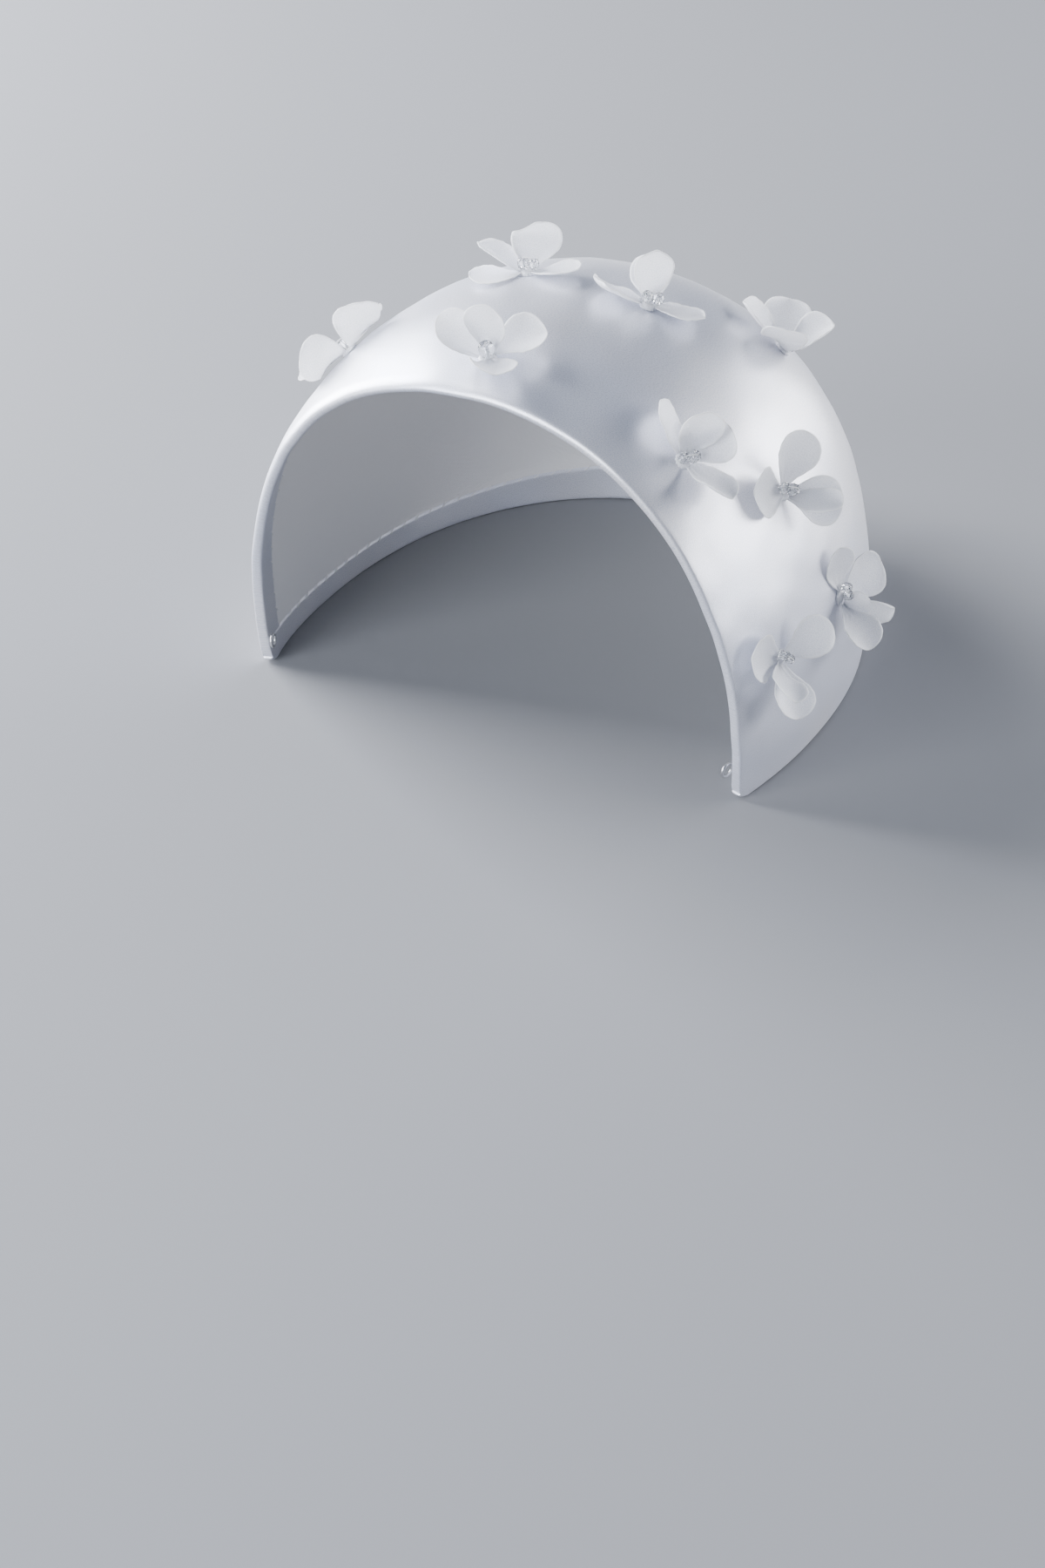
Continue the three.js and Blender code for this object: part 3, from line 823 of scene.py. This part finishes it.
def heartBody(place):
    # the gathered middle, a low round button of cloth with soft pleats
    rings, spokes = heart["rings"], heart["spokes"]
    points = [place["foot"] + place["out"] * (heart["gap"] + heart["height"])]
    for r in range(1, rings + 1):
        turn = pi / 2 * r / rings * heart["turnUnder"]
        height = heart["gap"] + heart["height"] * (0.5 + 0.5 * cos(turn * 2 / heart["turnUnder"]))
        tuck = cos((turn - pi / 2) * heart["tuck"]) if turn > pi / 2 else 1
        for angle in 2 * pi * np.arange(spokes) / spokes:
            pleat = 1 + heart["pleat"] * sin(heart["pleats"] * angle) * sin(turn)
            radius = heart["radius"] * sin(min(turn, pi / 2)) * pleat * tuck
            points.append(place["foot"] + place["out"] * height + wayOf(place, angle) * radius)
    points.append(place["foot"] + place["out"] * heart["gap"])
    faces = [tuple(1 + i for i in face) for face in ringFaces(rings, spokes)]
    last, end = 1 + (rings - 1) * spokes, len(points) - 1
    for s in range(spokes):
        t = (s + 1) % spokes
        faces += [(0, 1 + s, 1 + t), (last + s, end, last + t)]
    points = np.array(points)
    return points, faces, (points[:, :2] - points[0, :2]) * mm, np.zeros(len(points))


def blossomCloth(number, spot, place):
    # four petals and their gathered middle, one piece of cloth work
    petals = [petalBody(place, pose, spot["turn"]) for pose in petalSets[spot["petals"]]]
    parts = [body for body, rimLine in petals] + [heartBody(place)]
    faces, shift = [], 0
    for points, partFaces, uv, rimValues in parts:
        faces += [tuple(i + shift for i in face) for face in partFaces]
        shift += len(points)
    points, uvs, rims = (np.concatenate([part[i] for part in parts]) for i in (0, 2, 3))
    piece = newPiece(f"blossomCloth_{number}", points, faces, [petalCloth])
    # rim is the share of the thicker rim; the petal material also paints it white, partly as a painted
    # highlight
    piece.data.attributes.new("rim", "FLOAT", "POINT").data.foreach_set("value", rims)
    addClothMap(piece, uvs)
    return piece, [rimLine for body, rimLine in petals]


# Geometry Nodes for the beads, the rims' fibres and the stitches.

def newTree(name, inputs):
    geometry = {"Geometry": "Geometry"}
    inputs = {**geometry, **inputs, "Material": "Material"}
    return newGroup("GeometryNodeTree", name, inputs, geometry)


def finishTree(tree, geometry, given, result, smooth=True):
    real = nodeOut(tree, "GeometryNodeRealizeInstances", {0: geometry})
    shaded = nodeOut(tree, "GeometryNodeSetShadeSmooth", {"Geometry": real, "Shade Smooth": smooth})
    inputs = {"Geometry": shaded, "Material": given["Material"]}
    tree.links.new(nodeOut(tree, "GeometryNodeSetMaterial", inputs), result[0])
    return tree


def circle(tree, sides, radius):
    return nodeOut(tree, "GeometryNodeCurvePrimitiveCircle", {"Resolution": sides, "Radius": radius})


def swept(tree, curve, profile, caps=False):
    inputs = {"Curve": curve, "Profile Curve": profile, "Fill Caps": caps}
    return nodeOut(tree, "GeometryNodeCurveToMesh", inputs)


def spacedLine(tree, given):
    line = nodeOut(tree, "GeometryNodeMeshToCurve", {0: given["Geometry"]})
    return nodeOut(tree, "GeometryNodeResampleCurve", {"Curve": line, "Length": given["Spacing"]},
                   mode="LENGTH")


def carriedVector(tree, name):
    return nodeOut(tree, "GeometryNodeInputNamedAttribute", {0: name}, data_type="FLOAT_VECTOR")


def beadTree():
    # a round bead drilled through: an oval swept round the hole
    tree, given, result = newTree("drilledBead", {
        "Radius": 0.0015, "Hole Radius": 0.00035, "Height Share": 0.88,
        "Sides": 12, "Rows": 8, "Smooth": False})
    width = addMath(tree, "SUBTRACT", given["Radius"], given["Hole Radius"])
    halfWidth = addMath(tree, "MULTIPLY", width, 0.5)
    path = circle(tree, given["Sides"], addMath(tree, "ADD", given["Hole Radius"], halfWidth))
    tall = addMath(tree, "MULTIPLY", given["Radius"], given["Height Share"])
    oval = nodeOut(tree, "GeometryNodeTransform", {
        "Geometry": circle(tree, given["Rows"], 1.0), "Scale": combined(tree, halfWidth, tall, 1.0)})
    return finishTree(tree, swept(tree, path, oval), given, result, given["Smooth"])


def fibreTree():
    # short fibres that stand off a cut edge; the edge carries the way out as edgeOut
    tree, given, result = newTree("rimFibres", {
        "Spacing": 0.0003, "Length": 0.0004, "Thickness": 0.00003,
        "Scatter": 0.8, "Shortest": 0.35, "Seed": 5})
    hair = nodeOut(tree, "GeometryNodeCurvePrimitiveLine", {"Start": (0, 0, 0), "End": (0, 0, 1)})
    strand = swept(tree, hair, circle(tree, 3, given["Thickness"]))
    most = given["Scatter"]
    least = addMath(tree, "MULTIPLY", most, -1.0)
    scatter = nodeOut(tree, "FunctionNodeRandomValue", {
        0: combined(tree, least, least, least), 1: combined(tree, most, most, most),
        "Seed": given["Seed"],
    }, data_type="FLOAT_VECTOR")
    way = nodeOut(tree, "ShaderNodeVectorMath", {0: carriedVector(tree, "edgeOut"), 1: scatter},
                  operation="ADD")
    turn = nodeOut(tree, "FunctionNodeAlignRotationToVector", {"Vector": way}, axis="Z")
    share = addNode(tree, "FunctionNodeRandomValue", {
        2: given["Shortest"], 3: 1.0, "Seed": given["Seed"]}, data_type="FLOAT").outputs[1]
    size = combined(tree, 1.0, 1.0, addMath(tree, "MULTIPLY", share, given["Length"]))
    placed = nodeOut(tree, "GeometryNodeInstanceOnPoints", {
        "Points": spacedLine(tree, given), "Instance": strand, "Rotation": turn, "Scale": size})
    return finishTree(tree, placed, given, result)


def stitchTree():
    # small raised stitches along a line that carries the cloth's normal as clothNormal
    tree, given, result = newTree("slipStitches", {
        "Spacing": 0.005, "Length": 0.0024, "Rise": 0.0004, "Thickness": 0.00016, "Slant": 0.6})
    half = addMath(tree, "MULTIPLY", given["Length"], 0.5)
    arch = nodeOut(tree, "GeometryNodeCurveQuadraticBezier", {
        "Resolution": 8, "Start": combined(tree, addMath(tree, "MULTIPLY", half, -1.0)),
        "Middle": combined(tree, z=given["Rise"]), "End": combined(tree, half)})
    strand = swept(tree, arch, circle(tree, 6, given["Thickness"]), True)
    normal = carriedVector(tree, "clothNormal")
    upright = nodeOut(tree, "FunctionNodeAlignRotationToVector", {"Vector": normal}, axis="Z")
    tangent = nodeOut(tree, "GeometryNodeInputTangent")
    along = nodeOut(tree, "FunctionNodeAlignRotationToVector", {"Rotation": upright, "Vector": tangent},
                    axis="X", pivot_axis="Z")
    slant = nodeOut(tree, "FunctionNodeEulerToRotation", {0: combined(tree, z=given["Slant"])})
    turn = nodeOut(tree, "FunctionNodeRotateRotation", {0: along, 1: slant}, rotation_space="LOCAL")
    placed = nodeOut(tree, "GeometryNodeInstanceOnPoints", {
        "Points": spacedLine(tree, given), "Instance": strand, "Rotation": turn})
    return finishTree(tree, placed, given, result)


def grown(name, tree, values, seed=None):
    # runs a tree on a seed mesh and keeps the result as a plain mesh object
    holder = newObject(name + "Seed", seed or bpy.data.meshes.new(name + "Seed"))
    modifier = holder.modifiers.new("grow", "NODES")
    modifier.node_group = tree
    for item in tree.interface.items_tree:
        if item.in_out == "INPUT" and item.name in values:
            modifier[item.identifier] = values[item.name]
    graph = bpy.context.evaluated_depsgraph_get()
    mesh = bpy.data.meshes.new_from_object(holder.evaluated_get(graph))
    mesh.name = name
    bpy.data.objects.remove(holder)
    return newObject(name, mesh)


beadNodes = beadTree()
fibreNodes = fibreTree()
stitchNodes = stitchTree()


def smoothPath(stops, steps):
    # a smooth line through the stops
    ends = np.vstack([2 * stops[0] - stops[1], stops, 2 * stops[-1] - stops[-2]])
    parts = []
    for i in range(len(stops) - 1):
        a, b, c, d = ends[i:i + 4]
        for t in np.arange(steps) / steps:
            parts.append(0.5 * (2 * b + (c - a) * t + (2 * a - 5 * b + 4 * c - d) * t * t
                                + (3 * b - a - 3 * c + d) * t ** 3))
    return np.array(parts + [stops[-1]])


def tube(path, radius, sides):
    # a closed round tube along a path
    tangents = unit(np.gradient(path, axis=0))
    side = unit(np.cross(tangents[0], [0.3, 0.5, 0.8]))
    points = []
    for place, tangent in zip(path, tangents):
        side = unit(side - tangent * (side @ tangent))
        across = np.cross(tangent, side)
        angles = 2 * pi * np.arange(sides) / sides
        points += [place + radius * (side * cos(a) + across * sin(a)) for a in angles]
    faces = [(a, d, c, b) for a, b, c, d in ringFaces(len(path), sides)]
    last = (len(path) - 1) * sides
    faces += [tuple(range(sides - 1, -1, -1)), tuple(range(last, last + sides))]
    return np.array(points), faces


def lineMesh(name, lines, attribute):
    # edges through lists of points, with a vector for each point
    points, vectors, edges = [], [], []
    for linePoints, lineVectors in lines:
        first = len(points)
        points += list(linePoints)
        vectors += list(lineVectors)
        edges += [(i, i + 1) for i in range(first, len(points) - 1)]
    mesh = bpy.data.meshes.new(name)
    mesh.from_pydata(placed(points), edges, [])
    mesh.attributes.new(attribute, "FLOAT_VECTOR", "POINT").data.foreach_set("vector", np.ravel(vectors))
    return mesh


# Slip stitches along the turned-in hem.
stitches = {
    "Spacing": 5.2 * mm,
    "Length": 2.2 * mm,
    "Rise": 0.55 * mm,
    "Thickness": 0.15 * mm,
    "Slant": 0.7,
}

for edge, line in hems.items():
    seed = lineMesh(f"{edge}HemLine", [tuple(zip(*line))], "clothNormal")
    row = grown(f"{edge}HemStitches", stitchNodes, {**stitches, "Material": thread}, seed)
    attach(row, "root")
print("hem sewn")


# The blossoms with their fibres, beads and thread.
fibres = {"Spacing": 0.19 * mm, "Length": 0.17 * mm, "Thickness": 0.03 * mm}
fibresFrom = 0.5  # the share of rim thickness that carries fibres
beadForm = {
    "holeRadius": 0.36,
    "heightShare": 0.9,
    "heightUp": 1.35,
    "pairGap": 0.15,
    "facets": (11, 9),  # round the hole, and round the glass
    "smoothFacets": (32, 24),
    "smoothAbove": 4.0,
}
threadForm = {
    "radius": 0.13,
    "sides": 6,
    "steps": 6,
    "above": 0.12,  # how high it passes over a bead
    "below": 1.0,
    "straight": 0.4,
    "knotSide": 0.3,
    "knotRise": 0.1,
    "knotBack": 0.4,
    "knotDrop": 0.35,
}


def rimFibres(number, rims):
    lines = [(line[share > fibresFrom], outwards[share > fibresFrom]) for line, outwards, share in rims]
    seed = lineMesh(f"rimLines_{number}", lines, "edgeOut")
    values = {**fibres, "Seed": number, "Material": petalCloth}
    return grown(f"rimFibres_{number}", fibreNodes, values, seed)


def beadPlaces(spot, place):
    way = wayOf(place, radians(spot["beadTurn"]))
    radii = [size / 2 for size in spot["beads"]]
    spread = sum(radii) + beadForm["pairGap"] if len(radii) > 1 else 0
    climb, sideways = spot["beadLean"]
    lean = place["climb"] * climb + place["round"] * sideways
    for i, radius in enumerate(radii):
        height = beadForm["heightUp"] + radius
        yield radius, place["foot"] + place["out"] * height + lean + way * spread * (i - 0.5)


def beadPiece(number, letter, radius, centre, out):
    smooth = 2 * radius > beadForm["smoothAbove"]
    sides, rows = beadForm["smoothFacets" if smooth else "facets"]
    piece = grown(f"glassBead_{number}_{letter}", beadNodes, {
        "Radius": radius * mm, "Hole Radius": beadForm["holeRadius"] * mm,
        "Height Share": beadForm["heightShare"], "Sides": sides, "Rows": rows,
        "Smooth": smooth, "Material": clearGlass})
    turn = Vector((0, 0, 1)).rotation_difference(Vector(out)).to_matrix().to_4x4()
    piece.data.transform(Matrix.Translation(Vector(centre) * mm + rowShift) @ turn)
    return piece


def threadPiece(number, place, beads):
    # the sewing thread: up through one bead and down through the next, or to a small knot
    form, out, tall = threadForm, place["out"], beadForm["heightShare"]
    tops = [centre + out * (radius * tall + form["above"]) for radius, centre in beads]
    feet = [centre - out * (radius + form["below"]) for radius, centre in beads]
    straight = out * form["straight"]
    stops = [feet[0], tops[0] - straight, tops[0]]
    if len(beads) == 2:
        stops += [(tops[0] + tops[1]) / 2 + out * form["above"], tops[1], tops[1] - straight, feet[1]]
    else:
        side, top = place["climb"] * form["knotSide"], tops[0]
        stops += [top + side + out * form["knotRise"],
                  top + side * form["knotBack"] - out * form["knotDrop"]]
    points, faces = tube(smoothPath(np.array(stops), form["steps"]), form["radius"], form["sides"])
    return newPiece(f"beadThread_{number}", points, faces, [thread])


for number, spot in enumerate(flowers, 1):
    place = flowerPlace(spot)
    cloth, rims = blossomCloth(number, spot, place)
    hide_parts(f"blossom_{number}")
    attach(cloth, "root")
    fuzz = rimFibres(number, rims)
    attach(fuzz, "root")
    beads = list(beadPlaces(spot, place))
    sewing = threadPiece(number, place, beads)
    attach(sewing, "root")
    for letter, (radius, centre) in zip("ab", beads):
        bead = beadPiece(number, letter, radius, centre, place["out"])
        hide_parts(f"bead_{number}_{letter}")
        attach(bead, "root")
print("blossoms made")


# The wire loops inside the two tips.
loop = {"radius": 1.75, "wire": 0.4, "around": 56, "sides": 16}


def wireRing(name):
    # a smooth ring of wire in the place of the plain one
    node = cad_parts[name]
    corners = np.array([node.matrix_world @ v.co - rowShift for v in node.data.vertices]) / mm
    centre = corners.mean(0)
    across, upward = np.linalg.svd(corners - centre, full_matrices=False)[2][:2]
    axis = np.cross(across, upward)
    points = []
    for turn in np.linspace(0, 2 * pi, loop["around"], endpoint=False):
        spoke = across * cos(turn) + upward * sin(turn)
        for roll in np.linspace(0, 2 * pi, loop["sides"], endpoint=False):
            reach = loop["radius"] + loop["wire"] * cos(roll)
            points.append(centre + spoke * reach + axis * loop["wire"] * sin(roll))
    faces = ringFaces(loop["around"], loop["sides"], wrapped=True)
    return newPiece(name.replace("tip_loop", "wireRing"), points, faces, [wire])


for name in ("tip_loop_left", "tip_loop_right"):
    piece = wireRing(name)
    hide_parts(name)
    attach(piece, "root")
print("tip loops made")


# The floor, the lights and the camera, with the lights' places and sizes in metres.
studio = {
    "floor": (0.22, 0.224, 0.235, 1),
    "floorReach": 6,
    "floorDrop": 0.0002,
    "room": (0.34, 0.41, 0.57, 1),
    "roomStrength": 0.43,
    "aim": (0, 0, 0.06),
}
camera = {
    "place": (317.7, -538.0, 400.7),
    "azimuth": 31.73,
    "elevation": 35.37,
    "roll": -3.02,
    "lens": 60,
    "sensor": 36,
}
lights = {
    "leftWindow": {
        "place": (-1.2, 0.1, 0.55), "size": (0.9, 1.2), "power": 104, "color": (0.92, 0.94, 1.0),
    },
    "rightWindow": {
        "place": (1.0, 0.98, 0.3), "size": (1.7, 0.5), "power": 40, "color": (0.94, 0.955, 1.0),
    },
    "frontSoft": {
        "place": (-0.45, -1.3, 0.5), "size": (1.0, 0.8), "power": 36, "color": (0.88, 0.92, 1.0),
    },
}


def makeFloor():
    reach, drop = studio["floorReach"], studio["floorDrop"]
    corners = [(x * reach, y * reach, -drop) for x, y in ((-1, -1), (1, -1), (1, 1), (-1, 1))]
    mesh = bpy.data.meshes.new("floor")
    mesh.from_pydata(corners, [], [(0, 1, 2, 3)])
    material = newMaterial("floorPaper", {"Roughness": 0.8, "Base Color": studio["floor"]})[0]
    mesh.materials.append(material)
    newObject("floor", mesh)


def makeLights():
    for name, values in lights.items():
        data = bpy.data.lights.new(name, "AREA")
        data.shape = "RECTANGLE"
        data.size, data.size_y = values["size"]
        data.energy = values["power"]
        data.color = values["color"]
        light = newObject(name, data)
        light.location = values["place"]
        towards = Vector(studio["aim"]) - light.location
        light.rotation_euler = towards.to_track_quat("-Z", "Y").to_euler()
    world = bpy.data.worlds.new("room")
    world.use_nodes = True
    background = world.node_tree.nodes["Background"].inputs
    background["Color"].default_value = studio["room"]
    background["Strength"].default_value = studio["roomStrength"]
    bpy.context.scene.world = world


def makeCamera():
    data = bpy.data.cameras.new("camera")
    data.lens = camera["lens"]
    data.sensor_width = camera["sensor"]
    eye = newObject("camera", data)
    azimuth, elevation, roll = (radians(camera[key]) for key in ("azimuth", "elevation", "roll"))
    back = Vector((sin(azimuth) * cos(elevation), -cos(azimuth) * cos(elevation), sin(elevation)))
    right = Vector((cos(azimuth), sin(azimuth), 0))
    up = back.cross(right)
    rolledRight = right * cos(roll) + up * sin(roll)
    rolledUp = up * cos(roll) - right * sin(roll)
    turn = Matrix((rolledRight, rolledUp, back)).transposed().to_4x4()
    eye.matrix_world = Matrix.Translation(Vector(camera["place"]) * mm + rowShift) @ turn
    bpy.context.scene.camera = eye


makeFloor()
makeLights()
makeCamera()
print("studio made")
